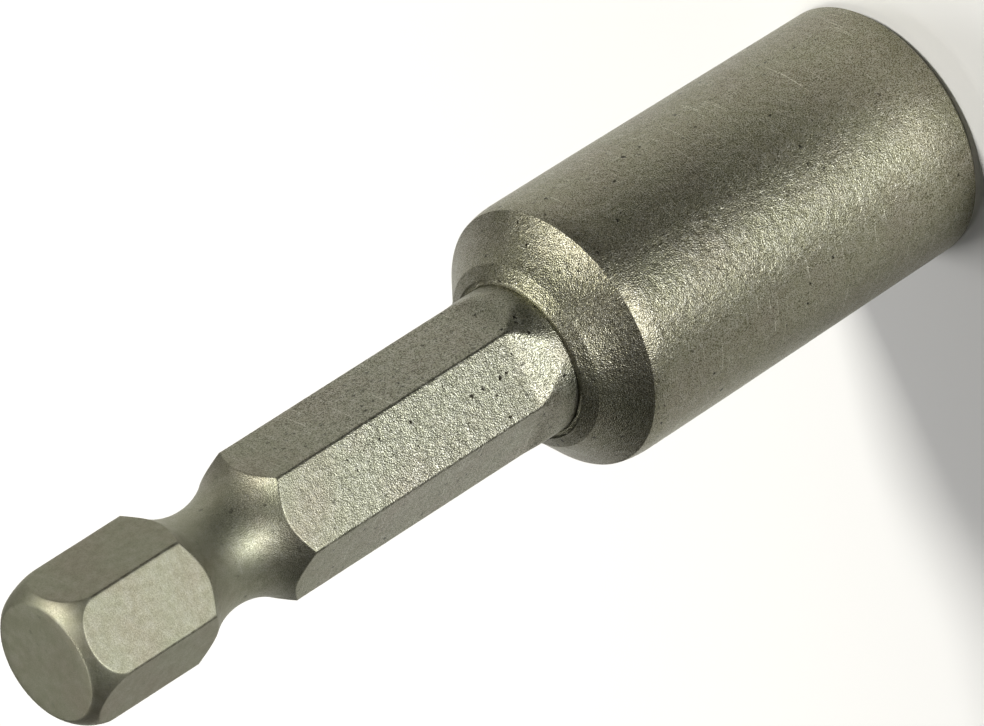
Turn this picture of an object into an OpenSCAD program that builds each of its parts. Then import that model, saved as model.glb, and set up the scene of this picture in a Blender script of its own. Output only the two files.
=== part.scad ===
// Nut setter: a hexagonal drive shank pressed into a round socket, which holds a sprung magnet.
// The tool stands on the mouth of the socket, with its axis along Z. The origin is the middle of the mouth.
// Two flats of the shank, and two of the nut recess, face +X and -X.
// Every place along the axis is a distance from the drive end.

/* [Tool] */
// Length over all, from the drive end to the mouth
tool_len = 52; // [50:0.5:70]
// Distance from the drive end to the back of the socket
joint_at = 28.8; // [24:0.1:30]

/* [Shank] */
// Width of the drive hexagon across its flats
shank_af = 6.35; // [6.25:0.01:6.4]
// Diameter of the bar that the hexagon is cut from
bar_d = 7.28; // [7.1:0.01:7.3]
// Diameter of the flat face at the drive end
end_face_d = 5.64; // [5:0.02:6.2]
// Radius of the rounding round that face
end_round_r = 2.2; // [1.2:0.1:3]
// Distance from the drive end to the middle of the retaining groove
groove_at = 9.7; // [9:0.1:12]
// Smallest diameter of the retaining groove
groove_d = 4.8; // [4.5:0.05:5.4]
// Radius of the groove's rounded section
groove_r = 4.2; // [3:0.1:5]
// Radius of the hollow in which each flat starts to rise to the neck
runout_r = 2.2; // [1.4:0.1:3]
// Steepest slope of that rise, as an angle
runout_slope = 20; // [16:1:26]
// Slope with which the rise meets the round neck, as an angle
neck_slope = 4; // [2:1:6]
// Length of the full round neck between the rise and the socket
neck_len = 0.1; // [0.1:0.05:1]

/* [Press fit] */
// How much the spigot's radius is over the bore's
press_bite = 0.01; // [0.005:0.005:0.02]
// Chamfer at the spigot's inner end
spigot_chamfer = 0.3; // [0.1:0.05:0.6]
// Chamfer at the mouth of the socket's rear bore
bore_chamfer = 0.09; // [0.05:0.01:0.12]

/* [Socket] */
// Outer diameter of the flat ring round the shank
rear_ring_d = 7.84; // [7.7:0.02:8.4]
// Diameter at which the shallow band meets the cone
band_d = 9.04; // [8.6:0.02:10]
// How far the band slopes forward
band_drop = 0.36; // [0.2:0.02:0.6]
// Diameter of the crisp edge at the front of the cone
edge_d = 12.56; // [12:0.02:12.7]
// Distance from the back of the socket to that edge
edge_back = 2.1; // [1.5:0.05:3]
// Greatest diameter, just in front of the edge
body_d = 12.8; // [12.76:0.02:13.4]
// Length over which the edge swells to the greatest diameter
swell_len = 1; // [0.6:0.1:1.6]
// Diameter where the taper to the mouth starts
taper_d = 12.76; // [12.6:0.02:12.76]
// Distance from the back of the socket to where the taper starts
taper_back = 8.2; // [5:0.1:12]
// Diameter at the mouth, before its chamfer
mouth_d = 12.52; // [12.2:0.02:12.6]
// Chamfer round the rim of the mouth
rim_chamfer = 0.37; // [0.2:0.01:0.5]

/* [Nut recess] */
// Width across the flats of the nut that it drives
nut_af = 8; // [7.94:0.01:8.2]
// Play between the nut and the recess, across the flats
nut_play = 0.1; // [0.08:0.01:0.2]
// Depth of the hexagonal recess
recess_depth = 9; // [8:0.1:9.4]
// Diameter of the lead-in cone at the mouth
lead_in_d = 10.4; // [10:0.05:11]
// Depth of the lead-in cone
lead_in_depth = 0.6; // [0.4:0.05:0.9]

/* [Magnet] */
// Diameter of the round chamber that the magnet cup slides in
chamber_d = 8; // [7.8:0.01:8]
// Clearance round the cup
cup_clear = 0.07; // [0.03:0.01:0.1]
// Wall of the cup
cup_wall = 0.5; // [0.4:0.05:0.7]
// Floor of the cup
cup_floor = 0.7; // [0.5:0.05:0.8]
// Thickness of the magnet
magnet_len = 3; // [2.4:0.1:3.1]
// Glue gap round and behind the magnet
glue_gap = 0.03; // [0.02:0.01:0.05]
// How far the magnet lies behind the rim of the cup
magnet_inset = 0.12; // [0.05:0.01:0.2]
// Chamfer on the edges of the magnet and the back of the cup
small_chamfer = 0.15; // [0.05:0.01:0.25]
// Travel of the magnet and its cup towards the shank
magnet_travel = 2; // [1:0.1:2.2]
// Gap left between the cup and the shank at the end of that travel
back_clear = 0.35; // [0.2:0.05:0.6]

/* [Retaining ring] */
// Diameter of the ring's wire
ring_wire_d = 0.8; // [0.7:0.05:0.9]
// How far the middle of the wire lies outside the chamber's wall
ring_seat = 0.15; // [0.1:0.01:0.2]
// Gap between the two ends of the ring, as an angle
ring_gap_angle = 50; // [40:1:80]
// Play between the ring and its groove
ring_play = 0.05; // [0.03:0.01:0.08]
// Round land between the ring's groove and the nut recess
ring_land = 0.3; // [0.2:0.05:0.5]
// Gap between the ring and the rim of the cup at rest
stop_gap = 0.1; // [0.05:0.01:0.2]

/* [Spring] */
// Diameter of the spring's wire
spring_wire_d = 0.45; // [0.35:0.01:0.5]
// Outer diameter of the spring
spring_d = 4.2; // [3.6:0.1:4.3]
// Number of coils
spring_coils = 6.5; // [5:0.5:7]
// Diameter of the spring's pocket in the shank
pocket_d = 4.6; // [4.4:0.05:4.8]
// Depth of the spring's pocket
pocket_depth = 4.5; // [4:0.1:5.2]
// Gap between each end of the spring and its seat
spring_seat_gap = 0.05; // [0.02:0.01:0.1]

/* [Hidden] */
$fn = 64;

// Overrun of every cut past the surface that it opens
over = 1;

// Shank
bar_r = bar_d/2;
end_face_r = end_face_d/2;
end_round_h = bar_r - end_round_r;
end_round_at = sqrt(end_round_r*end_round_r - (end_face_r - end_round_h)*(end_face_r - end_round_h));
end_round_steps = 16;
hollow_rise = runout_r*(1 - cos(runout_slope));
crown_r = (bar_r - shank_af/2 - hollow_rise)/(cos(neck_slope) - cos(runout_slope));
neck_at = joint_at - neck_len;
steepest_at = neck_at - crown_r*(sin(runout_slope) - sin(neck_slope));
runout_at = steepest_at - runout_r*sin(runout_slope);

// Socket
bore_r = bar_r - press_bite;
edge_at = joint_at + edge_back;
swell = (body_d - edge_d)/2;
swell_r = (swell_len*swell_len + swell*swell)/(2*swell);
swell_angle = asin(swell_len/swell_r);
swell_steps = 8;

// Nut recess and chamber
recess_af = nut_af + nut_play;
recess_at = tool_len - recess_depth;
chamber_r = chamber_d/2;

// Retaining ring and its groove
ring_r = chamber_r + ring_seat;
ring_slot = ring_wire_d + 2*ring_play;
ring_at = recess_at - ring_land - ring_slot/2;
ring_slot_r = ring_r + ring_wire_d/2 + ring_play;

// Cup and magnet
cup_r = chamber_r - cup_clear;
cup_bore_r = cup_r - cup_wall;
cup_front_at = ring_at - ring_wire_d/2 - stop_gap;
magnet_front_at = cup_front_at - magnet_inset;
magnet_back_at = magnet_front_at - magnet_len;
cup_bore_at = magnet_back_at - glue_gap;
cup_back_at = cup_bore_at - cup_floor;
magnet_r = cup_bore_r - glue_gap;

// Inner end of the shank, which ends short of the cup, and the spring's pocket in it
spigot_at = cup_back_at - magnet_travel - back_clear;
pocket_at = spigot_at - pocket_depth;

// Spring
spring_r = (spring_d - spring_wire_d)/2;
spring_start_at = pocket_at + spring_seat_gap + spring_wire_d/2;
spring_end_at = cup_back_at - spring_seat_gap - spring_wire_d/2;
spring_pitch = (spring_end_at - spring_start_at)/spring_coils;
spring_rings = 8;
spring_sides = 6;
spring_steps = spring_coils*spring_rings;

// Points of an arc about a centre, from one angle to another
function arc(centre, r, from, to, steps) =
    [for (i = [0:steps]) let (a = from + (to - from)*i/steps) centre + r*[cos(a), sin(a)]];

// Turns over what was drawn upwards from the drive end, so that it stands on the mouth
module mouth_down() {
    translate([0, 0, tool_len]) rotate([180, 0, 0]) children();
}

// Round hole along the axis, from one place to another
module bore_cut(r, from, to) {
    translate([0, 0, from]) cylinder(r = r, h = to - from);
}

// Hexagonal prism along the axis, with two flats facing +X and -X
module hex_prism(af, from, to) {
    rotate([0, 0, 30]) translate([0, 0, from]) cylinder(d = af/cos(30), h = to - from, $fn = 6);
}

// The bar as turned, with its rounded drive end
module turned_bar() {
    start_angle = acos((end_face_r - end_round_h)/end_round_r);
    profile = concat(
        [[0, 0]],
        arc([end_round_h, end_round_at], end_round_r, -start_angle, 0, end_round_steps),
        [[bar_r, spigot_at - spigot_chamfer], [bar_r - spigot_chamfer, spigot_at], [0, spigot_at]]
    );
    rotate_extrude() polygon(profile);
}

// What the milling of one flat takes away. The flat rises in a hollow, then over a crown, to the round neck.
module flat_cut() {
    rotate([90, 0, 0]) linear_extrude(bar_d + 2*over, center = true) {
        translate([shank_af/2, -over]) square([bar_d, runout_at + over]);
        intersection() {
            translate([shank_af/2 + runout_r, runout_at]) circle(r = runout_r);
            translate([shank_af/2, runout_at]) square([bar_d, steepest_at - runout_at]);
        }
        difference() {
            translate([shank_af/2, steepest_at]) square([bar_d, joint_at - steepest_at]);
            translate([bar_r - crown_r*cos(neck_slope), neck_at + crown_r*sin(neck_slope)]) circle(r = crown_r);
        }
    }
}

// Ring-shaped cut for the retaining groove
module groove_cut() {
    translate([0, 0, groove_at]) rotate_extrude()
        translate([groove_d/2 + groove_r, 0]) circle(r = groove_r);
}

module drive_shank() {
    color("#8E8B7C")
    mouth_down() difference() {
        turned_bar();
        for (i = [0:5]) rotate([0, 0, 60*i]) flat_cut();
        groove_cut();
        bore_cut(pocket_d/2, pocket_at, spigot_at + over);
    }
}

// Outside of the socket, turned in one piece
module turned_socket() {
    profile = concat(
        [[0, joint_at], [rear_ring_d/2, joint_at], [band_d/2, joint_at + band_drop]],
        arc([body_d/2 - swell_r, edge_at + swell_len], swell_r, -swell_angle, 0, swell_steps),
        [[taper_d/2, joint_at + taper_back], [mouth_d/2, tool_len - rim_chamfer],
         [mouth_d/2 - rim_chamfer, tool_len], [0, tool_len]]
    );
    rotate_extrude() polygon(profile);
}

// Lead-in cone at the mouth, which narrows until it is inside the flats of the recess
module lead_in_cut() {
    cone_drop = lead_in_depth/(lead_in_d - recess_af)*lead_in_d;
    over_r = lead_in_d/2*(1 + over/cone_drop);
    translate([0, 0, tool_len - cone_drop]) cylinder(r1 = 0, r2 = over_r, h = cone_drop + over);
}

// Small cone at the mouth of the rear bore
module bore_chamfer_cut() {
    translate([0, 0, joint_at - over])
        cylinder(r1 = bore_r + bore_chamfer + over, r2 = bore_r, h = bore_chamfer + over);
}

module socket_body() {
    color("#85816F")
    mouth_down() difference() {
        turned_socket();
        bore_cut(bore_r, joint_at - over, spigot_at);
        bore_chamfer_cut();
        bore_cut(chamber_r, spigot_at, recess_at + over);
        bore_cut(ring_slot_r, ring_at - ring_slot/2, ring_at + ring_slot/2);
        hex_prism(recess_af, recess_at, tool_len + over);
        lead_in_cut();
    }
}

// Split ring of round wire, which stops the cup
module retaining_ring() {
    color("#3B3A38")
    mouth_down() translate([0, 0, ring_at]) rotate([0, 0, ring_gap_angle/2])
        rotate_extrude(angle = 360 - ring_gap_angle) translate([ring_r, 0]) circle(d = ring_wire_d);
}

module magnet_cup() {
    color("#9A9A96")
    mouth_down() difference() {
        union() {
            bore_cut(cup_r, cup_back_at + small_chamfer, cup_front_at);
            translate([0, 0, cup_back_at])
                cylinder(r1 = cup_r - small_chamfer, r2 = cup_r, h = small_chamfer);
        }
        bore_cut(cup_bore_r, cup_bore_at, cup_front_at + over);
    }
}

module magnet() {
    profile = [
        [0, magnet_back_at], [magnet_r - small_chamfer, magnet_back_at],
        [magnet_r, magnet_back_at + small_chamfer], [magnet_r, magnet_front_at - small_chamfer],
        [magnet_r - small_chamfer, magnet_front_at], [0, magnet_front_at]
    ];
    color("#C9C8C4") mouth_down() rotate_extrude() polygon(profile);
}

// Middle of the spring's wire at a step along it
function coil_middle(i) = let (a = 360*i/spring_rings)
    [spring_r*cos(a), spring_r*sin(a), spring_start_at + spring_pitch*i/spring_rings];

// One point of the wire's section at a step along it
function coil_point(i, j) = let (
        a = 360*i/spring_rings,
        b = 360*j/spring_sides,
        rise = atan(spring_pitch/(2*PI*spring_r)),
        outward = [cos(a), sin(a), 0],
        along = [sin(a)*sin(rise), -cos(a)*sin(rise), cos(rise)])
    coil_middle(i) + spring_wire_d/2*(cos(b)*outward + sin(b)*along);

// Least gap between the wire and its own next turns
coil_gap = min([for (i = [0:spring_steps - spring_rings/2], k = [i + spring_rings/2:spring_steps])
    norm(coil_middle(k) - coil_middle(i))]) - spring_wire_d;
echo(coil_gap = coil_gap);

module magnet_spring() {
    points = [for (i = [0:spring_steps], j = [0:spring_sides - 1]) coil_point(i, j)];
    sides = [for (i = [0:spring_steps - 1], j = [0:spring_sides - 1], half = [0, 1]) let (
            next = (j + 1)%spring_sides,
            a = i*spring_sides + j,
            b = i*spring_sides + next,
            c = a + spring_sides,
            d = b + spring_sides)
        half == 0 ? [a, c, b] : [b, c, d]];
    last = spring_steps*spring_sides;
    first_cap = [for (j = [1:spring_sides - 2]) [0, j, j + 1]];
    last_cap = [for (j = [1:spring_sides - 2]) [last, last + j + 1, last + j]];
    color("#6F6E6A") mouth_down() polyhedron(points, concat(sides, first_cap, last_cap));
}

drive_shank();
socket_body();
retaining_ring();
magnet_cup();
magnet();
magnet_spring();
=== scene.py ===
"""Nut setter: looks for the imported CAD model.

The tool stands on the mouth of its socket at the origin, with its axis along Z and the drive
end up. Every place along the axis is a distance from the drive end, as in the part's source.
"""

import math

import bmesh
import bpy
from bpy.props import FloatProperty, FloatVectorProperty, PointerProperty
from mathutils import Matrix, Vector, noise


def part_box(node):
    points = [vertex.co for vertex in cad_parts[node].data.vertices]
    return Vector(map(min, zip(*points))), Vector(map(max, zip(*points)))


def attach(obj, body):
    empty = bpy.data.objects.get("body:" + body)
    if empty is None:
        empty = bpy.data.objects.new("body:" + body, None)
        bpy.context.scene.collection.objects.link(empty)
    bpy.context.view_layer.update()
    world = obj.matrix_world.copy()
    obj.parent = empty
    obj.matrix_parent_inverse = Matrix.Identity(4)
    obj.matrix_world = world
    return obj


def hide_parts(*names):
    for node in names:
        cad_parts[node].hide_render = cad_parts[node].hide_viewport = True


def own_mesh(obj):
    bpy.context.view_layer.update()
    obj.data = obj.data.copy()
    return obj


bl_info = {
    "name": "Nut setter",
    "version": (1, 0, 0),
    "blender": (4, 5, 0),
    "location": "3D View > Sidebar > Nut Setter",
    "description": "Builds the pieces, finishes, lights and camera of a nut setter",
    "category": "Add Mesh",
}

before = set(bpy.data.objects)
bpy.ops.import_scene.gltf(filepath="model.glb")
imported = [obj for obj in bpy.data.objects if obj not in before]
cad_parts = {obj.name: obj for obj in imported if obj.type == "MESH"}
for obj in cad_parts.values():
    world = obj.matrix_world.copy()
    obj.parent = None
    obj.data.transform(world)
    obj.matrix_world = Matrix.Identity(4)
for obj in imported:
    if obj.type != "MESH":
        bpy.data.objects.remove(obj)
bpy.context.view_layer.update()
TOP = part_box("drive_shank")[1].z

MM = 0.001
TURN = 2 * math.pi
FLATS = 6
HALF_SECTOR = TURN / (2 * FLATS)

# Each flat has its own run of columns, half of them on each side of its middle. The inner shares
# go from there to the edge of the flat, and the outer ones on to the corner between two flats.
# Both crowd towards that edge, where the shape bends.
INNER_SHARES = (0.0, 0.3, 0.55, 0.75, 0.88, 0.94, 0.97, 0.989, 1.0)
OUTER_SHARES = (0.016, 0.045, 0.1, 0.2, 0.36, 0.56, 0.78, 1.0)
HALF_COLUMNS = len(INNER_SHARES) + len(OUTER_SHARES) - 1
COLUMNS = 2 * FLATS * HALF_COLUMNS
# The edge keeps this angle from the middle, and stays within this share of the half sector
LEAST_EDGE_ANGLE = math.radians(1.5)
GREATEST_EDGE_SHARE = 0.995

# In metres: closer points are one, a shorter edge is none, and a smaller radius is on the axis
ONE_POINT = 1e-8
NO_EDGE = 1e-9
ON_AXIS = 1e-6
# How close to a surface a point counts as lying on it
ON_SURFACE = 1e-7


def linear(hex_colour):
    """Linear red, green and blue of an sRGB hex value."""
    parts = [int(hex_colour[i : i + 2], 16) / 255 for i in (1, 3, 5)]
    return tuple(c / 12.92 if c <= 0.04045 else ((c + 0.055) / 1.055) ** 2.4 for c in parts)


def size(name, description, millimetres):
    """A length that a user may change."""
    return FloatProperty(
        name=name,
        description=description,
        default=millimetres * MM,
        min=0,
        precision=5,
        unit="LENGTH",
    )


def degrees(name, description, value):
    """An angle that a user may change."""
    default = math.radians(value)
    return FloatProperty(name=name, description=description, default=default, subtype="ANGLE")


def tint(name, description, hex_colour):
    """A colour that a user may change."""
    return FloatVectorProperty(
        name=name,
        description=description,
        subtype="COLOR",
        size=3,
        min=0,
        max=1,
        default=linear(hex_colour),
    )


class NutSetterShank(bpy.types.PropertyGroup):
    """Sizes of the hexagonal drive shank."""

    flats: size("Across flats", "Width of the drive hexagon", 6.35)
    bar: size("Bar diameter", "Bar that the hexagon is milled from", 7.28)
    end_face: size("End face diameter", "Flat face at the drive end", 5.64)
    end_round: size("End rounding", "Radius of the rounding round that face", 2.2)
    rim_easing: size("Rim easing", "How far the rim of that face is eased", 0.07)
    groove_at: size("Groove place", "Drive end to the middle of the groove", 9.7)
    groove: size("Groove diameter", "Smallest diameter of the retaining groove", 4.8)
    groove_round: size("Groove rounding", "Radius of the groove's section", 4.2)
    neck_at: size("Neck place", "Drive end to where the neck is fully round", 28.7)
    runout_round: size("Runout radius", "Radius of the hollow where each flat starts to rise", 2.2)
    runout_slope: degrees("Runout slope", "Steepest slope of that rise", 20)
    neck_slope: degrees("Neck slope", "Slope with which the rise meets the neck", 4)
    inner_end: size("Inner end", "Drive end to the shank's end inside the socket", 35.55)
    inner_chamfer: size("Inner chamfer", "Chamfer at that end", 0.3)
    pocket: size("Pocket diameter", "Pocket for the spring", 4.6)
    pocket_depth: size("Pocket depth", "Depth of that pocket", 4.5)
    easing: size("Edge easing", "How far blasting has eased the milled edges", 0.04)
    runout_easing: size("Runout easing", "How softly the runouts fade into the round neck", 0.07)


class NutSetterSocket(bpy.types.PropertyGroup):
    """Sizes of the round socket."""

    back: size("Back", "Drive end to the back of the socket", 28.8)
    ring: size("Rear ring diameter", "Flat ring round the shank", 7.84)
    band: size("Band diameter", "Where the shallow band meets the cone", 9.04)
    band_drop: size("Band drop", "How far the band slopes forward", 0.36)
    edge: size("Edge diameter", "Crisp edge at the front of the cone", 12.56)
    edge_back: size("Edge place", "Back of the socket to that edge", 2.1)
    body: size("Body diameter", "Greatest diameter", 12.8)
    swell: size("Swell", "Length from the edge to the greatest diameter", 1.0)
    taper: size("Taper diameter", "Where the taper to the mouth starts", 12.76)
    taper_back: size("Taper place", "Back of the socket to that start", 8.2)
    mouth: size("Mouth diameter", "At the mouth, before its chamfer", 12.52)
    rim: size("Rim chamfer", "Chamfer round the rim of the mouth", 0.37)
    mouth_at: size("Length", "Drive end to the mouth", 52.0)
    recess: size("Recess across flats", "Hexagonal nut recess", 8.1)
    recess_depth: size("Recess depth", "Depth of that recess", 9.0)
    lead_in: size("Lead-in diameter", "Cone at the mouth", 10.4)
    lead_in_depth: size("Lead-in depth", "Depth of that cone", 0.6)
    chamber: size("Chamber diameter", "Round chamber of the magnet cup", 8.0)
    slot: size("Slot diameter", "Groove for the retaining ring", 9.2)
    slot_near: size("Slot front", "Drive end to the mouth side of that groove", 42.7)
    slot_far: size("Slot back", "Drive end to its other side", 41.8)
    bore: size("Bore diameter", "Rear bore, pressed on the shank", 7.26)
    bore_chamfer: size("Bore chamfer", "Chamfer at the mouth of that bore", 0.03)
    step: size("Step", "Tiny step left by the turning tool at the ring and the band", 0.07)
    step_flare: size("Step flare", "How far that step widens", 0.01)
    easing: size("Edge easing", "How far the turned edges are eased", 0.02)


class NutSetterInside(bpy.types.PropertyGroup):
    """Sizes of the sprung magnet unit and its retaining ring."""

    cup: size("Cup diameter", "Steel cup that holds the magnet", 7.86)
    cup_bore: size("Cup bore", "Inside of the cup", 6.86)
    cup_back: size("Cup back", "Drive end to the back of the cup", 37.9)
    cup_floor: size("Cup floor", "Drive end to the inside of the cup's floor", 38.6)
    cup_front: size("Cup front", "Drive end to the rim of the cup", 41.75)
    magnet: size("Magnet diameter", "Disc magnet", 6.8)
    magnet_back: size("Magnet back", "Drive end to the back of the magnet", 38.63)
    magnet_front: size("Magnet front", "Drive end to its face", 41.63)
    chamfer: size("Chamfer", "Chamfer on the magnet and the cup", 0.15)
    wire: size("Ring wire", "Diameter of the retaining ring's wire", 0.8)
    ring_round: size("Ring radius", "Axis to the middle of that wire", 4.15)
    ring_at: size("Ring place", "Drive end to the middle of that wire", 42.25)
    ring_gap: degrees("Ring gap", "Angle between the ring's ends", 50)
    spring_wire: size("Spring wire", "Diameter of the spring's wire", 0.45)
    spring: size("Spring diameter", "Outside of the spring", 4.2)
    spring_start: size("Spring start", "Drive end to the middle of its first turn", 31.325)
    spring_end: size("Spring end", "Drive end to the middle of its last turn", 37.625)
    coils: FloatProperty(name="Coils", description="Number of coils", default=6.5, min=1)
    travel: size("Travel", "Travel of the magnet and its cup", 2.0)


class NutSetterColours(bpy.types.PropertyGroup):
    """Colours of the finishes."""

    shank: tint("Shank", "Blasted nickel plate on the shank", "#90907A")
    socket: tint("Socket", "Blasted nickel plate on the socket", "#8E8C71")
    bare: tint("Bare plate", "Plate in the brightest craters of the blasting", "#91908A")
    film: tint("Film", "Warm brown film that clouds the plate", "#8E8473")
    # Soot darkens the pits, and on the lands between the flats it paints shade
    soot_and_corner_shade: tint("Soot", "Dark residue in the pits and on the milled corners", "#2C2A22")
    ring: tint("Ring", "Oiled black oxide on the retaining ring", "#3A3835")
    cup: tint("Cup", "Bright zinc plate on the cup", "#A9ABA8")
    magnet: tint("Magnet", "Bright nickel plate on the magnet", "#C4C1B9")
    spring: tint("Spring", "Drawn spring wire", "#8C8A86")
    floor: tint("Table", "White studio table", "#EDECE9")


def distance_along(co):
    """Distance of a point from the drive end, along the axis."""
    return TOP - co[2]


def turned(profile, easing, eased):
    """A mesh turned about Z from a profile of (radius, distance from the drive end).

    eased gives the places in the profile of the corners that are eased.
    """
    bm = bmesh.new()
    verts = [bm.verts.new((r, 0, TOP - s)) for r, s in profile]
    for pair in zip(verts, verts[1:]):
        bm.edges.new(pair)
    bmesh.ops.bevel(
        bm,
        geom=[verts[i] for i in eased],
        offset=easing,
        offset_type="OFFSET",
        segments=3,
        profile=0.5,
        affect="VERTICES",
        material=-1,
    )
    bmesh.ops.spin(
        bm,
        geom=bm.verts[:] + bm.edges[:],
        cent=(0, 0, 0),
        axis=(0, 0, 1),
        angle=TURN,
        steps=COLUMNS,
        use_merge=True,
    )
    bmesh.ops.remove_doubles(bm, verts=bm.verts[:], dist=ONE_POINT)
    bmesh.ops.dissolve_degenerate(bm, dist=NO_EDGE, edges=bm.edges[:])
    return bm


def piece(name, bm, body, slot, material, *nodes):
    """Turns a mesh into a named piece that rides on a body and stands for its CAD nodes."""
    bmesh.ops.recalc_face_normals(bm, faces=bm.faces[:])
    mesh = bpy.data.meshes.new(name)
    bm.to_mesh(mesh)
    bm.free()
    mesh.polygons.foreach_set("use_smooth", [True] * len(mesh.polygons))
    mesh.materials.append(material)
    obj = bpy.data.objects.new(name, mesh)
    bpy.context.scene.collection.objects.link(obj)
    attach(obj, body)
    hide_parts(*nodes)
    return obj


def keep_flats_flat(obj):
    """Weights the normals by area, so that flats stay flat beside their narrow eased edges."""
    modifier = obj.modifiers.new("Flat faces", "WEIGHTED_NORMAL")
    modifier.mode = "FACE_AREA"
    # 50 is neutral, and more favours the larger faces
    modifier.weight = 90


def eased_min(a, b, width):
    """The smaller of two values, blended by a parabola where they differ by less than width."""
    near = max(width - abs(a - b), 0) / width
    return min(a, b) - near * near * width / 4


def half_sector(edge_angle):
    """Angles of the columns from the middle of a flat to its corner, crowded at its edge."""
    edge_angle = min(max(edge_angle, LEAST_EDGE_ANGLE), HALF_SECTOR * GREATEST_EDGE_SHARE)
    inner = [edge_angle * share for share in INNER_SHARES]
    return inner + [edge_angle + (HALF_SECTOR - edge_angle) * share for share in OUTER_SHARES]


def column_place(co, edge_angle):
    """Angle round the axis where a turned point belongs, and that from the middle of its flat."""
    index = round(math.atan2(co.y, co.x) / TURN * COLUMNS) % COLUMNS
    sector = round(index / (2 * HALF_COLUMNS))
    step = index - sector * 2 * HALF_COLUMNS
    off_middle = math.copysign(half_sector(edge_angle)[abs(step)], step)
    return sector * TURN / FLATS + off_middle, abs(off_middle)


def move_to(vert, radius, angle):
    """Moves a point to a radius and an angle round the axis, at its own height."""
    vert.co.x, vert.co.y = radius * math.cos(angle), radius * math.sin(angle)


def unevenness(co, per_mm, seed):
    """Slow noise from -1 to 1 at a place, for edges that are worn more here and less there."""
    return noise.noise(Vector(co) * per_mm / MM + Vector((seed, 0, 0)))


def runout(sizes):
    """Where the flats start to rise, where they are steepest, and the radius of their crown.

    Each flat leaves its level in a hollow and goes over the crown to the round neck.
    """
    steep, end, hollow = sizes.runout_slope, sizes.neck_slope, sizes.runout_round
    left = (sizes.bar - sizes.flats) / 2 - hollow * (1 - math.cos(steep))
    crown = left / (math.cos(end) - math.cos(steep))
    steepest_at = sizes.neck_at - crown * (math.sin(steep) - math.sin(end))
    return steepest_at - hollow * math.sin(steep), steepest_at, crown


def flat_distance(sizes, along):
    """Distance of the flats from the axis at a place along it."""
    runout_at, steepest_at, crown = runout(sizes)
    if along <= runout_at:
        return sizes.flats / 2
    if along <= steepest_at:
        rise = sizes.runout_round - math.sqrt(sizes.runout_round**2 - (along - runout_at) ** 2)
        return sizes.flats / 2 + rise
    short = sizes.neck_at + crown * math.sin(sizes.neck_slope) - along
    if short <= 0:
        # Past the top of the crown: far outside the bar, so that no flat cuts it
        return sizes.bar
    return sizes.bar / 2 - crown * math.cos(sizes.neck_slope) + math.sqrt(crown**2 - short**2)


# How many rings of points the outline of the shank has on each stretch
END_RINGS = 14
EDGE_RINGS = 18
GROOVE_RINGS = 20
DRIVE_RINGS = 6
SHAFT_RINGS = 18
RUNOUT_RINGS = 44
# Rings across the end face, as shares of its radius
FACE_SHARES = (0, 0.5, 0.8, 1)
# How far a round is below the flats at the rings that follow where it leaves them
BELOW_FLAT_MM = (0.005, 0.015, 0.035, 0.07)
# A point of the outline this close to the one before it is left out
LEAST_STEP = 0.002 * MM


def shank_profile(sizes):
    """Turned outline of the shank, with places crowded where the flats meet the rounds."""
    bar = sizes.bar / 2
    face = sizes.end_face / 2
    flat = sizes.flats / 2
    # How far from the axis the sections of the end rounding and of the groove have their centres
    hub = bar - sizes.end_round
    throat = sizes.groove / 2 + sizes.groove_round
    round_end = math.sqrt(sizes.end_round**2 - (face - hub) ** 2)
    # Half the angle that a flat spans on the bar, and radii along its edge, up to its corner
    corner = math.acos(flat / bar)
    edge_radii = [flat / math.cos(corner * i / EDGE_RINGS) for i in range(EDGE_RINGS + 1)]
    near_radii = [flat - step * MM for step in BELOW_FLAT_MM]

    def end_radius(s):
        return hub + math.sqrt(sizes.end_round**2 - (round_end - s) ** 2)

    def groove_radius(s):
        return throat - math.sqrt(sizes.groove_round**2 - (s - sizes.groove_at) ** 2)

    places = {round_end * i / END_RINGS: end_radius for i in range(1, END_RINGS + 1)}
    for r in edge_radii[:-1] + near_radii:
        places[round_end - math.sqrt(sizes.end_round**2 - (r - hub) ** 2)] = end_radius
    reach = math.sqrt(sizes.groove_round**2 - (throat - bar) ** 2)
    for i in range(-GROOVE_RINGS, GROOVE_RINGS + 1):
        places[sizes.groove_at + reach * i / GROOVE_RINGS] = groove_radius
    for r in edge_radii + near_radii:
        off = math.sqrt(sizes.groove_round**2 - (throat - r) ** 2)
        places[sizes.groove_at - off] = groove_radius
        places[sizes.groove_at + off] = groove_radius
    points = [(face * share, 0) for share in FACE_SHARES]
    points += [(fit(s), s) for s, fit in places.items()]
    runout_at = runout(sizes)[0]
    stretches = (
        (round_end, sizes.groove_at - reach, DRIVE_RINGS),
        (sizes.groove_at + reach, runout_at, SHAFT_RINGS),
        (runout_at, sizes.neck_at, RUNOUT_RINGS),
    )
    for start, stop, rings in stretches:
        points += [(bar, start + (stop - start) * i / rings) for i in range(1, rings + 1)]
    points.sort(key=lambda point: (point[1], point[0]))
    kept = [points[0]]
    for point in points[1:]:
        if math.dist(point, kept[-1]) > LEAST_STEP:
            kept.append(point)
    inner, chamfer, pocket = sizes.inner_end, sizes.inner_chamfer, sizes.pocket / 2
    return kept + [
        (bar, inner - chamfer),
        (bar - chamfer, inner),
        (pocket, inner),
        (pocket, inner - sizes.pocket_depth),
        (0, inner - sizes.pocket_depth),
    ]


# The easing of the milled edges varies by this share, this often along them
EASING_VARIES = 0.5
VARIES_PER_MM = 1.1
VARIES_SEED = 3
# Over this length from the start of the runouts, their softer easing takes over
SOFTENING = 1 * MM
# A narrow land of the bar is left between two flats, also where easing took this much off it
LAND_EASED = 0.004 * MM


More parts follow.
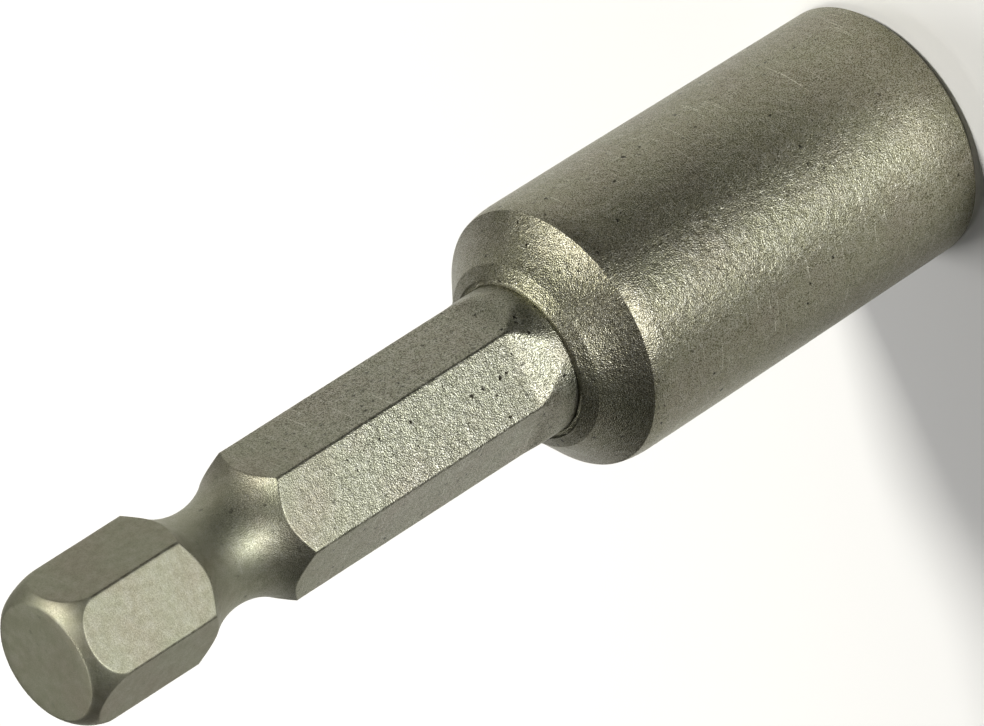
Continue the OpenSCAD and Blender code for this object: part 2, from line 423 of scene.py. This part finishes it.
class NUTSETTER_OT_drive_shank(bpy.types.Operator):
    """Hexagonal drive shank, turned, milled and grooved"""

    bl_idname = "nut_setter.drive_shank"
    bl_label = "Drive shank"

    def execute(self, context):
        sizes = context.scene.nut_setter_shank
        profile = shank_profile(sizes)
        rim = profile.index((sizes.end_face / 2, 0))
        bm = turned(profile, sizes.rim_easing, eased=[rim])
        land = bm.verts.layers.float.new("land")
        runout_at = runout(sizes)[0]
        for vert in bm.verts:
            along, radius = distance_along(vert.co), math.hypot(vert.co.x, vert.co.y)
            if radius < ON_AXIS:
                continue
            flat = flat_distance(sizes, along)
            edge_angle = math.acos(flat / max(radius, flat))
            angle, off_middle = column_place(vert.co, edge_angle)
            meets = flat / math.cos(off_middle)
            here = (radius * math.cos(angle), radius * math.sin(angle), vert.co.z)
            worn = 1 + EASING_VARIES * unevenness(here, VARIES_PER_MM, VARIES_SEED)
            softer = min(max((along - runout_at) / SOFTENING, 0), 1)
            ease = sizes.easing * worn * (1 - softer) + sizes.runout_easing * softer
            # Marks the lands between the flats, which the finish darkens with painted shade
            on_bar = abs(radius - sizes.bar / 2) < ON_SURFACE and softer < 1
            if on_bar and meets > radius - LAND_EASED:
                vert[land] = 1 - softer
            move_to(vert, eased_min(radius, meets, ease), angle)
        colour = context.scene.nut_setter_colours.shank
        material = blasted_nickel("Blasted nickel plate, shank", colour, film=0.45, unpitted=0.35)
        obj = piece("drive_shank_finished", bm, "tool", "shank_steel", material, "drive_shank")
        keep_flats_flat(obj)
        return {"FINISHED"}


# How many rings the swell of the body has, and the lead-in cone where it meets the recess
SWELL_RINGS = 8
MEETING_RINGS = 10
# Depths of the rings down the walls of the recess, which start under the lead-in cone
RECESS_RINGS_MM = (0.63, 0.7, 1, 2, 4, 6, 8)
# How much the broach's corners leave of the sharp hexagon, and how softly they and the cone blend
BROACH_CORNER = 0.06 * MM
BROACH_BLEND = 0.05 * MM
CONE_BLEND = 0.03 * MM


class NUTSETTER_OT_socket_body(bpy.types.Operator):
    """Round socket, turned, with a broached nut recess"""

    bl_idname = "nut_setter.socket_body"
    bl_label = "Socket body"

    def execute(self, context):
        sizes = context.scene.nut_setter_socket
        shank_end = context.scene.nut_setter_shank.inner_end
        back, mouth = sizes.back, sizes.mouth_at
        edge_at = back + sizes.edge_back
        recess_at = mouth - sizes.recess_depth
        flat, chamber = sizes.recess / 2, sizes.chamber / 2
        slot, bore = sizes.slot / 2, sizes.bore / 2
        ring, band, lead_in = sizes.ring / 2, sizes.band / 2, sizes.lead_in / 2
        lead_slope = (lead_in - flat) / sizes.lead_in_depth
        # The body swells over an arc, which meets its greatest diameter smoothly
        swell = (sizes.body - sizes.edge) / 2
        swell_round = (sizes.swell**2 + swell**2) / (2 * swell)
        hub = sizes.body / 2 - swell_round
        start = math.asin(sizes.swell / swell_round)
        profile = [
            (bore, back + sizes.bore_chamfer),
            (bore + sizes.bore_chamfer, back),
            (ring, back),
            (ring + sizes.step_flare, back + sizes.step),
            (band, back + sizes.band_drop),
            (band + sizes.step_flare, back + sizes.band_drop + sizes.step),
            (sizes.edge / 2, edge_at),
        ]
        bore_rim, crisp_edge = 1, len(profile) - 1
        for i in range(1, SWELL_RINGS + 1):
            turn = start * (1 - i / SWELL_RINGS)
            along = edge_at + sizes.swell - swell_round * math.sin(turn)
            profile.append((hub + swell_round * math.cos(turn), along))
        mouth_rim = [
            (sizes.mouth / 2, mouth - sizes.rim),
            (sizes.mouth / 2 - sizes.rim, mouth),
            (lead_in, mouth),
        ]
        profile += [(sizes.taper / 2, back + sizes.taper_back), *mouth_rim]
        mouth_corners = range(len(profile) - len(mouth_rim), len(profile))
        # Rings down the lead-in cone follow its meeting line with the flats of the recess
        for i in range(MEETING_RINGS, -1, -1):
            radius = flat / math.cos(HALF_SECTOR * i / MEETING_RINGS)
            profile.append((radius, mouth - (lead_in - radius) / lead_slope))
        profile += [(flat, mouth - depth * MM) for depth in RECESS_RINGS_MM]
        profile += [
            (flat, recess_at),
            (chamber, recess_at),
            (chamber, sizes.slot_near),
            (slot, sizes.slot_near),
            (slot, sizes.slot_far),
            (chamber, sizes.slot_far),
            (chamber, shank_end),
            (bore, shank_end),
            (bore, back + sizes.bore_chamfer),
        ]
        bm = turned(profile, sizes.easing, eased=[bore_rim, crisp_edge, *mouth_corners])
        blunt_corner = flat / math.cos(HALF_SECTOR) - BROACH_CORNER
        for vert in bm.verts:
            along, radius = distance_along(vert.co), math.hypot(vert.co.x, vert.co.y)
            in_reach = flat - ON_SURFACE < radius < lead_in + ON_SURFACE
            if in_reach and along > recess_at - ON_SURFACE:
                angle, off_middle = column_place(vert.co, math.acos(min(1, flat / radius)))
                broached = eased_min(flat / math.cos(off_middle), blunt_corner, BROACH_BLEND)
                # The larger of the two radii, because this is a hollow
                move_to(vert, -eased_min(-radius, -broached, CONE_BLEND), angle)
        colour = context.scene.nut_setter_colours.socket
        material = blasted_nickel("Blasted nickel plate, socket", colour, film=0.4, unpitted=0.75)
        obj = piece("socket_body_finished", bm, "tool", "socket_steel", material, "socket_body")
        keep_flats_flat(obj)
        return {"FINISHED"}


# How far the corners of the small pieces are eased
CUP_EASING = 0.06 * MM
MAGNET_EASING = 0.05 * MM
WIRE_EASING = 0.06 * MM


class NUTSETTER_OT_magnet_unit(bpy.types.Operator):
    """Magnet and the cup that carries it"""

    bl_idname = "nut_setter.magnet_unit"
    bl_label = "Magnet unit"

    def execute(self, context):
        sizes, colours = context.scene.nut_setter_inside, context.scene.nut_setter_colours
        cup, bore, chamfer = sizes.cup / 2, sizes.cup_bore / 2, sizes.chamfer
        profile = [
            (0, sizes.cup_back),
            (cup - chamfer, sizes.cup_back),
            (cup, sizes.cup_back + chamfer),
            (cup, sizes.cup_front),
            (bore, sizes.cup_front),
            (bore, sizes.cup_floor),
            (0, sizes.cup_floor),
        ]
        # Its outer corners and its rim are eased, and so are all corners of the magnet
        bm = turned(profile, CUP_EASING, eased=[1, 2, 3, 4])
        material = plated_metal("Bright zinc plate", colours.cup, roughness=0.34)
        obj = piece("magnet_cup_finished", bm, "magnet_unit", "cup_steel", material, "magnet_cup")
        keep_flats_flat(obj)
        disc = sizes.magnet / 2
        profile = [
            (0, sizes.magnet_back),
            (disc - chamfer, sizes.magnet_back),
            (disc, sizes.magnet_back + chamfer),
            (disc, sizes.magnet_front - chamfer),
            (disc - chamfer, sizes.magnet_front),
            (0, sizes.magnet_front),
        ]
        bm = turned(profile, MAGNET_EASING, eased=[1, 2, 3, 4])
        material = plated_metal("Bright nickel plate", colours.magnet, roughness=0.22)
        obj = piece("magnet_finished", bm, "magnet_unit", "magnet_nickel", material, "magnet")
        keep_flats_flat(obj)
        return {"FINISHED"}


def wire_section(radius, off_axis, along, sides):
    """A disc of wire, square to the turn round the axis, ready to be spun."""
    bm = bmesh.new()
    place = Matrix.Translation((off_axis, 0, TOP - along)) @ Matrix.Rotation(TURN / 4, 4, "X")
    bmesh.ops.create_circle(bm, cap_ends=True, segments=sides, radius=radius, matrix=place)
    return bm


RING_SIDES = 24
RING_STEPS = 120


class NUTSETTER_OT_retaining_ring(bpy.types.Operator):
    """Split ring of round wire that stops the cup"""

    bl_idname = "nut_setter.retaining_ring"
    bl_label = "Retaining ring"

    def execute(self, context):
        sizes = context.scene.nut_setter_inside
        bm = wire_section(sizes.wire / 2, sizes.ring_round, sizes.ring_at, RING_SIDES)
        first_end = Matrix.Rotation(sizes.ring_gap / 2, 3, "Z")
        bmesh.ops.rotate(bm, verts=bm.verts[:], cent=(0, 0, 0), matrix=first_end)
        bmesh.ops.spin(
            bm,
            geom=bm.verts[:] + bm.edges[:] + bm.faces[:],
            cent=(0, 0, 0),
            axis=(0, 0, 1),
            angle=TURN - sizes.ring_gap,
            steps=RING_STEPS,
        )
        # The two cut ends are the only faces with as many corners as the wire has sides
        rims = [e for e in bm.edges if any(len(f.verts) == RING_SIDES for f in e.link_faces)]
        bmesh.ops.bevel(
            bm,
            geom=rims,
            offset=WIRE_EASING,
            offset_type="OFFSET",
            segments=2,
            profile=0.5,
            affect="EDGES",
            material=-1,
        )
        colour = context.scene.nut_setter_colours.ring
        material = plated_metal("Oiled black oxide", colour, roughness=0.38)
        piece("retaining_ring_finished", bm, "tool", "ring_steel", material, "retaining_ring")
        return {"FINISHED"}


SPRING_SIDES = 14
STEPS_PER_COIL = 40


class NUTSETTER_OT_magnet_spring(bpy.types.Operator):
    """Coil spring behind the magnet cup"""

    bl_idname = "nut_setter.magnet_spring"
    bl_label = "Magnet spring"

    def execute(self, context):
        sizes = context.scene.nut_setter_inside
        off_axis = (sizes.spring - sizes.spring_wire) / 2
        bm = wire_section(sizes.spring_wire / 2, off_axis, sizes.spring_start, SPRING_SIDES)
        steps = round(sizes.coils * STEPS_PER_COIL)
        rise = (sizes.spring_start - sizes.spring_end) / steps
        bmesh.ops.spin(
            bm,
            geom=bm.verts[:] + bm.edges[:] + bm.faces[:],
            cent=(0, 0, 0),
            axis=(0, 0, 1),
            dvec=(0, 0, rise),
            angle=sizes.coils * TURN,
            steps=steps,
        )
        colour = context.scene.nut_setter_colours.spring
        material = plated_metal("Drawn spring wire", colour, roughness=0.36)
        obj = piece("magnet_spring_finished", bm, "tool", "spring_steel", material, "magnet_spring")
        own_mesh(obj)
        return {"FINISHED"}


def add_node(tree, kind, inputs=None, **settings):
    """Adds a node with its own settings. inputs gives each socket a value or what feeds it."""
    node = tree.nodes.new(kind)
    for name, value in settings.items():
        setattr(node, name, value)
    for key, value in (inputs or {}).items():
        socket = next((s for s in node.inputs if s.identifier == key), None) or node.inputs[key]
        if isinstance(value, bpy.types.NodeSocket):
            tree.links.new(value, socket)
        else:
            socket.default_value = value
    return node


def new_material(name):
    """An empty node material and its tree."""
    material = bpy.data.materials.new(name)
    material.use_nodes = True
    material.node_tree.nodes.clear()
    return material, material.node_tree


# Most values of a noise texture lie in this range
NOISE_RANGE = {"From Min": 0.3, "From Max": 0.7}
# Between these distances from the drive end, the chuck's polish gives way to the full texture,
# of which it leaves this share
POLISHED_TO, FULL_FROM = 8 * MM, 18 * MM
POLISHED_SHARE = 0.14
# Real sizes of the marks on the blasted plate: glass bead craters and the tone of each, waves left
# by milling and turning, clouds of film, the spacing of pits, and how their outlines are bent
CRATER, CRATER_DEPTH, CRATER_TONE = 0.058 * MM, 0.023 * MM, 0.05 * MM
WAVE, WAVE_DEPTH = 0.45 * MM, 0.04 * MM
CLOUD = 3.2 * MM
PIT_SPACING, PIT_RAGGED, PIT_BEND = 0.5 * MM, 0.12 * MM, 0.25 * MM
# A scratch is the peak of a noise cell 2.2 mm long and 0.045 mm wide that lies at a slant, and is
# brighter by this share
SCRATCH_CELLS = (0.45 / MM, 0.45 / MM, 22 / MM)
SCRATCH_SLANT = (0.5, 0.35, 0.2)
SCRATCH_GAIN = 0.8
# Level of the plate where no crater darkens or lights it
PLATE_LEVEL = 0.98
# The full texture changes the roughness by this, because its bumps already spread the light
TEXTURE_ROUGHNESS = -0.15


def blasted_nickel(name, colour, film, unpitted):
    """Nickel plate over bead-blasted steel: a fine sparkling grain under clouds of brown film.

    It has small pits dark with soot and bright hairlines, and painted shade darkens the
    lands between the flats and the hollows of the waves. film is how strong the film gets, and
    unpitted is the share of the places for pits that hold none.
    """
    colours = bpy.context.scene.nut_setter_colours
    material, tree = new_material(name)
    coordinates = add_node(tree, "ShaderNodeTexCoord")
    place = coordinates.outputs["Object"]
    height = add_node(tree, "ShaderNodeSeparateXYZ", {"Vector": place}).outputs["Z"]
    # The chuck has rubbed the drive end smoother than the rest
    fresh = add_node(
        tree,
        "ShaderNodeMapRange",
        {
            "Value": height,
            "From Min": TOP - POLISHED_TO,
            "From Max": TOP - FULL_FROM,
            "To Min": POLISHED_SHARE,
            "To Max": 1.0,
        },
    ).outputs["Result"]
    # Craters of the glass beads, which catch the light one by one
    grain = add_node(
        tree,
        "ShaderNodeTexNoise",
        {"Vector": place, "Scale": 1 / CRATER, "Detail": 0.5, "Roughness": 0.5},
    ).outputs["Fac"]
    # Shallow unevenness left by milling and turning under the blast
    waves = add_node(
        tree,
        "ShaderNodeTexNoise",
        {"Vector": place, "Scale": 1 / WAVE, "Detail": 2.0, "Roughness": 0.55},
    ).outputs["Fac"]
    # Clouds of a few millimetres, where a warm film has settled on the plate
    cloud = add_node(
        tree,
        "ShaderNodeTexNoise",
        {"Vector": place, "Scale": 1 / CLOUD, "Detail": 3.0, "Roughness": 0.6},
    ).outputs["Fac"]
    filmed = add_node(
        tree,
        "ShaderNodeMapRange",
        {"Value": cloud, "From Min": 0.42, "From Max": 0.66, "To Min": 0.0, "To Max": film},
    ).outputs["Result"]
    plate = add_node(
        tree,
        "ShaderNodeMix",
        {"Factor": filmed, "A_Color": (*colour, 1), "B_Color": (*colours.film, 1)},
        data_type="RGBA",
    ).outputs[2]
    # Each crater's own tone: most are as bright as the plate gets, and some stay dark
    speck = add_node(
        tree,
        "ShaderNodeTexNoise",
        {"Vector": place, "Scale": 1 / CRATER_TONE, "Detail": 0.0},
    ).outputs["Fac"]
    spread = add_node(
        tree,
        "ShaderNodeMapRange",
        {"Value": speck, "From Min": 0.3, "From Max": 0.58, "To Min": -0.62, "To Max": 0.24},
    ).outputs["Result"]
    shade = add_node(
        tree, "ShaderNodeMath", {0: spread, 1: fresh, 2: PLATE_LEVEL}, operation="MULTIPLY_ADD"
    ).outputs[0]
    # Painted shade: the waves are a little darker in their hollows
    broad = add_node(
        tree,
        "ShaderNodeMapRange",
        {"Value": waves, **NOISE_RANGE, "To Min": 0.9, "To Max": 1.08},
    ).outputs["Result"]
    # A few hairline scratches show brighter metal on the sides along the tool's upright axis. On
    # the others a face can lie along one of their cells, which would show as a broad patch.
    facing = coordinates.outputs["Normal"]
    tilt = add_node(tree, "ShaderNodeSeparateXYZ", {"Vector": facing}).outputs["Z"]
    level = add_node(tree, "ShaderNodeMath", {0: tilt}, operation="ABSOLUTE").outputs[0]
    upright = add_node(
        tree,
        "ShaderNodeMapRange",
        {"Value": level, "From Min": 0.08, "From Max": 0.16, "To Min": 1.0, "To Max": 0.0},
    ).outputs["Result"]
    rubbed = add_node(
        tree, "ShaderNodeMath", {0: upright, 1: fresh}, operation="MULTIPLY"
    ).outputs[0]
    bared = add_node(
        tree, "ShaderNodeMath", {0: rubbed, 1: SCRATCH_GAIN, 2: 1.0}, operation="MULTIPLY_ADD"
    ).outputs[0]
    laid = add_node(
        tree,
        "ShaderNodeMapping",
        {"Vector": place, "Rotation": SCRATCH_SLANT, "Scale": SCRATCH_CELLS},
    ).outputs[0]
    streak = add_node(
        tree, "ShaderNodeTexNoise", {"Vector": laid, "Scale": 1.0, "Detail": 0.0}
    ).outputs["Fac"]
    scratch = add_node(
        tree,
        "ShaderNodeMapRange",
        {"Value": streak, "From Min": 0.765, "From Max": 0.79, "To Min": 1.0, "To Max": bared},
    ).outputs["Result"]
    scratched = add_node(
        tree, "ShaderNodeMath", {0: shade, 1: scratch}, operation="MULTIPLY"
    ).outputs[0]
    # The tone also holds the painted shade in the wave hollows
    tone = add_node(
        tree, "ShaderNodeMath", {0: scratched, 1: broad}, operation="MULTIPLY"
    ).outputs[0]
    # The brightest craters are bare plate, which is less warm
    cleaner = add_node(
        tree,
        "ShaderNodeMapRange",
        {"Value": tone, "From Min": 0.9, "From Max": 1.25, "To Min": 0.0, "To Max": 0.6},
    ).outputs["Result"]
    base = add_node(
        tree,
        "ShaderNodeMix",
        {"Factor": cleaner, "A_Color": plate, "B_Color": (*colours.bare, 1)},
        data_type="RGBA",
    ).outputs[2]
    # Pits of 0.1 to 0.15 mm, ragged, one or two to the square millimetre, in patches
    ragged = add_node(
        tree,
        "ShaderNodeTexNoise",
        {"Vector": place, "Scale": 1 / PIT_RAGGED, "Detail": 1.0},
    ).outputs["Color"]
    bent = add_node(
        tree,
        "ShaderNodeVectorMath",
        {0: ragged, 1: (PIT_BEND, PIT_BEND, PIT_BEND), 2: place},
        operation="MULTIPLY_ADD",
    ).outputs[0]
    cells = add_node(tree, "ShaderNodeTexVoronoi", {"Vector": bent, "Scale": 1 / PIT_SPACING})
    # Each cell may hold one round its point, and the cell's random colour says how dark
    away = cells.outputs["Distance"]
    near = add_node(
        tree,
        "ShaderNodeMapRange",
        {"Value": away, "From Min": 0.12, "From Max": 0.22, "To Min": 1.0, "To Max": 0.0},
    ).outputs["Result"]
    pick = add_node(
        tree, "ShaderNodeSeparateColor", {"Color": cells.outputs["Color"]}
    ).outputs["Red"]
    kept = add_node(
        tree,
        "ShaderNodeMapRange",
        {"Value": pick, "From Min": unpitted, "From Max": 1.0, "To Min": 0.0, "To Max": 1.8},
    ).outputs["Result"]
    # They are fainter under the film and on the smooth drive end
    patchy = add_node(
        tree,
        "ShaderNodeMapRange",
        {"Value": cloud, "From Min": 0.4, "From Max": 0.6, "To Min": 1.0, "To Max": 0.35},
    ).outputs["Result"]
    held = add_node(
        tree, "ShaderNodeMath", {0: patchy, 1: fresh}, operation="MULTIPLY"
    ).outputs[0]
    some = add_node(tree, "ShaderNodeMath", {0: kept, 1: held}, operation="MULTIPLY").outputs[0]
    pits = add_node(tree, "ShaderNodeMath", {0: near, 1: some}, operation="MULTIPLY").outputs[0]
    # Painted shade: the narrow lands between the flats are darkened with the soot colour, unevenly
    land = add_node(
        tree, "ShaderNodeAttribute", attribute_name="land", attribute_type="GEOMETRY"
    ).outputs["Fac"]
    uneven = add_node(
        tree,
        "ShaderNodeMapRange",
        {"Value": waves, "From Min": 0.3, "From Max": 0.65, "To Min": 0.55, "To Max": 0.2},
    ).outputs["Result"]
    corner_shade = add_node(tree, "ShaderNodeMath", {0: land, 1: uneven}, operation="MULTIPLY").outputs[0]
    soot_and_shade = add_node(tree, "ShaderNodeMath", {0: pits, 1: corner_shade}, operation="MAXIMUM").outputs[0]
    # Soot in the pits, and painted shade on the lands
    soiled_and_shaded = add_node(
        tree,
        "ShaderNodeMix",
        {"Factor": soot_and_shade, "A_Color": base, "B_Color": (*colours.soot_and_corner_shade, 1)},
        data_type="RGBA",
    ).outputs[2]
    shown = add_node(
        tree, "ShaderNodeVectorMath", {0: soiled_and_shaded, "Scale": tone}, operation="SCALE"
    ).outputs[0]
    # Polished crests of the grain shine more than its hollows
    uneven_gloss = add_node(
        tree,
        "ShaderNodeMapRange",
        {"Value": grain, **NOISE_RANGE, "To Min": 0.64, "To Max": 0.52},
    ).outputs["Result"]
    rough = add_node(
        tree,
        "ShaderNodeMath",
        {0: fresh, 1: TEXTURE_ROUGHNESS, 2: uneven_gloss},
        operation="MULTIPLY_ADD",
    ).outputs[0]
    dents = add_node(
        tree,
        "ShaderNodeBump",
        {"Strength": fresh, "Distance": WAVE_DEPTH, "Height": waves},
    ).outputs["Normal"]
    bump = add_node(
        tree,
        "ShaderNodeBump",
        {"Strength": fresh, "Distance": CRATER_DEPTH, "Height": grain, "Normal": dents},
    ).outputs["Normal"]
    shader = add_node(
        tree,
        "ShaderNodeBsdfPrincipled",
        {"Base Color": shown, "Metallic": 1.0, "Roughness": rough, "Normal": bump},
    )
    add_node(tree, "ShaderNodeOutputMaterial", {"Surface": shader.outputs[0]})
    return material


# Sizes of the faint clouds in a thin plate, and of its orange peel
PLATE_CLOUD = 0.8 * MM
PEEL, PEEL_DEPTH = 0.12 * MM, 0.006 * MM
# How much smoother and rougher than its middle value the plate gets
GLOSS_VARIES = 0.15


def plated_metal(name, colour, roughness):
    """A thin plated or oxide finish on small steel pieces, with a fine uneven gloss."""
    material, tree = new_material(name)
    place = add_node(tree, "ShaderNodeTexCoord").outputs["Object"]
    cloud = add_node(
        tree,
        "ShaderNodeTexNoise",
        {"Vector": place, "Scale": 1 / PLATE_CLOUD, "Detail": 3.0},
    ).outputs["Fac"]
    shade = add_node(
        tree,
        "ShaderNodeMapRange",
        {"Value": cloud, **NOISE_RANGE, "To Min": 0.88, "To Max": 1.06},
    ).outputs["Result"]
    plate = add_node(
        tree, "ShaderNodeVectorMath", {0: tuple(colour), "Scale": shade}, operation="SCALE"
    ).outputs[0]
    rougher, smoother = roughness * (1 + GLOSS_VARIES), roughness * (1 - GLOSS_VARIES)
    rough = add_node(
        tree,
        "ShaderNodeMapRange",
        {"Value": cloud, **NOISE_RANGE, "To Min": rougher, "To Max": smoother},
    ).outputs["Result"]
    # Faint unevenness of the plate, which breaks up the reflections
    orange_peel = add_node(
        tree,
        "ShaderNodeTexNoise",
        {"Vector": place, "Scale": 1 / PEEL, "Detail": 1.0},
    ).outputs["Fac"]
    bump = add_node(
        tree,
        "ShaderNodeBump",
        {"Strength": 0.5, "Distance": PEEL_DEPTH, "Height": orange_peel},
    ).outputs["Normal"]
    shader = add_node(
        tree,
        "ShaderNodeBsdfPrincipled",
        {"Base Color": plate, "Metallic": 1.0, "Roughness": rough, "Normal": bump},
    )
    add_node(tree, "ShaderNodeOutputMaterial", {"Surface": shader.outputs[0]})
    return material


# Camera, from the fit to the photograph's outline and edges
CAMERA_AIM = Vector((0.3957, 0.3204, 24.5208)) * MM
CAMERA_DISTANCE = 496.769 * MM
CAMERA_AZIMUTH = math.radians(38.9921)
CAMERA_ELEVATION = math.radians(33.5969)
CAMERA_ROLL = math.radians(122.6296)
CAMERA_CLIP = (0.05, 20)
SENSOR_MM = 36.0
LENS_MM = 413.57

# Soft lamps round the tool: azimuth and elevation in degrees, width and height in metres, colour,
# and the level to which they light white paint, where 1 is white
LAMPS = {
    "low key softbox": (17, -7, 0.15, 0.5, "#FCFDFF", 1.05),
    "side softbox": (107, 48, 0.22, 0.2, "#FFFEFA", 0.96),
    "top softbox": (200, 72, 0.2, 0.2, "#FFFFFF", 0.3),
    "back softbox": (240, 50, 0.2, 0.2, "#FFFFFF", 0.07),
}
LAMP_DISTANCE = 1.0
WORLD_LIGHT = 0.02
# The tool stands close to the front edge of a white table, so that the key light also reaches it
# from below
TABLE_HALF = 1.5
TABLE_FRONT = 13 * MM
TABLE_ROUGHNESS = 0.9
# A lamp above the table behind the tool lights the background, and hardly the tool
POOL_AZIMUTH = math.radians(210)
POOL_AWAY = 85 * MM
POOL_RADIUS = 105 * MM
POOL_LAMP_RADIUS = 30 * MM
POOL_LIGHT = 0.3


def watts(light):
    """Power with which an area lamp, at the lamps' distance, lights white paint to a level."""
    return light * (math.pi * LAMP_DISTANCE) ** 2


def direction(azimuth, elevation):
    """Way from the tool to a place at an azimuth, from -Y turning to +X, and an elevation."""
    flat = math.cos(elevation)
    return Vector((math.sin(azimuth) * flat, -math.cos(azimuth) * flat, math.sin(elevation)))


class NUTSETTER_OT_stage(bpy.types.Operator):
    """White table, soft lights and the photograph's camera"""

    bl_idname = "nut_setter.stage"
    bl_label = "Stage"

    def execute(self, context):
        scene = context.scene
        bm = bmesh.new()
        set_back = Matrix.Translation((0, TABLE_HALF - TABLE_FRONT, 0))
        place = Matrix.Rotation(CAMERA_AZIMUTH, 4, "Z") @ set_back
        bmesh.ops.create_grid(bm, x_segments=1, y_segments=1, size=TABLE_HALF, matrix=place)
        mesh = bpy.data.meshes.new("floor")
        bm.to_mesh(mesh)
        bm.free()
        floor = bpy.data.objects.new("floor", mesh)
        scene.collection.objects.link(floor)
        material, tree = new_material("Matt white table top")
        white = (*scene.nut_setter_colours.floor, 1)
        shader = add_node(
            tree, "ShaderNodeBsdfPrincipled", {"Base Color": white, "Roughness": TABLE_ROUGHNESS}
        )
        add_node(tree, "ShaderNodeOutputMaterial", {"Surface": shader.outputs[0]})
        mesh.materials.append(material)

        world = bpy.data.worlds.new("Studio")
        scene.world = world
        world.use_nodes = True
        world.node_tree.nodes.clear()
        tree = world.node_tree
        glow = add_node(
            tree, "ShaderNodeBackground", {"Color": (1, 1, 1, 1), "Strength": WORLD_LIGHT}
        )
        add_node(tree, "ShaderNodeOutputWorld", {"Surface": glow.outputs[0]})

        for name, (azimuth, elevation, width, height, hue, light) in LAMPS.items():
            lamp = bpy.data.lights.new(name, "AREA")
            lamp.shape = "RECTANGLE"
            lamp.size, lamp.size_y = width, height
            lamp.color = linear(hue)
            lamp.energy = watts(light)
            softbox = bpy.data.objects.new(name, lamp)
            scene.collection.objects.link(softbox)
            towards = direction(math.radians(azimuth), math.radians(elevation))
            softbox.location = towards * LAMP_DISTANCE + Vector((0, 0, TOP / 2))
            softbox.rotation_euler = towards.to_track_quat("Z", "Y").to_euler()

        lamp = bpy.data.lights.new("background lamp", "SPOT")
        lamp.spot_size = 2 * math.atan(POOL_RADIUS / LAMP_DISTANCE)
        lamp.spot_blend = 1.0
        lamp.shadow_soft_size = POOL_LAMP_RADIUS
        # The power of a spot counts its light as going all ways, which takes four times as much
        lamp.energy = 4 * watts(POOL_LIGHT)
        spot = bpy.data.objects.new("background lamp", lamp)
        scene.collection.objects.link(spot)
        above = Vector((0, 0, LAMP_DISTANCE))
        spot.location = direction(POOL_AZIMUTH, 0) * POOL_AWAY + above

        back = direction(CAMERA_AZIMUTH, CAMERA_ELEVATION)
        side = direction(CAMERA_AZIMUTH + TURN / 4, 0)
        natural_up = back.cross(side)
        up = natural_up * math.cos(CAMERA_ROLL) + side * math.sin(CAMERA_ROLL)
        turn = Matrix((up.cross(back), up, back)).transposed()
        lens = bpy.data.cameras.new("photograph camera")
        lens.lens, lens.sensor_width = LENS_MM, SENSOR_MM
        lens.clip_start, lens.clip_end = CAMERA_CLIP
        camera = bpy.data.objects.new("photograph camera", lens)
        scene.collection.objects.link(camera)
        place = Matrix.Translation(CAMERA_AIM + back * CAMERA_DISTANCE)
        camera.matrix_world = place @ turn.to_4x4()
        scene.camera = camera
        scene.view_settings.view_transform = "Standard"
        return {"FINISHED"}


class NUTSETTER_PT_builder(bpy.types.Panel):
    """Lists the pieces that can be built"""

    bl_label = "Nut Setter"
    bl_idname = "NUTSETTER_PT_builder"
    bl_space_type = "VIEW_3D"
    bl_region_type = "UI"
    bl_category = "Nut Setter"

    def draw(self, context):
        for operator in BUILDERS:
            self.layout.operator(operator.bl_idname)


BUILDERS = (
    NUTSETTER_OT_drive_shank,
    NUTSETTER_OT_socket_body,
    NUTSETTER_OT_magnet_unit,
    NUTSETTER_OT_retaining_ring,
    NUTSETTER_OT_magnet_spring,
    NUTSETTER_OT_stage,
)
GROUPS = {
    "nut_setter_shank": NutSetterShank,
    "nut_setter_socket": NutSetterSocket,
    "nut_setter_inside": NutSetterInside,
    "nut_setter_colours": NutSetterColours,
}
CLASSES = (*GROUPS.values(), *BUILDERS, NUTSETTER_PT_builder)


def register():
    for cls in CLASSES:
        bpy.utils.register_class(cls)
    for name, group in GROUPS.items():
        setattr(bpy.types.Scene, name, PointerProperty(type=group))


def unregister():
    for name in GROUPS:
        delattr(bpy.types.Scene, name)
    for cls in reversed(CLASSES):
        bpy.utils.unregister_class(cls)


def main():
    register()
    bpy.ops.nut_setter.drive_shank()
    bpy.ops.nut_setter.socket_body()
    bpy.ops.nut_setter.magnet_unit()
    bpy.ops.nut_setter.retaining_ring()
    bpy.ops.nut_setter.magnet_spring()
    bpy.ops.nut_setter.stage()


if __name__ == "__main__":
    main()
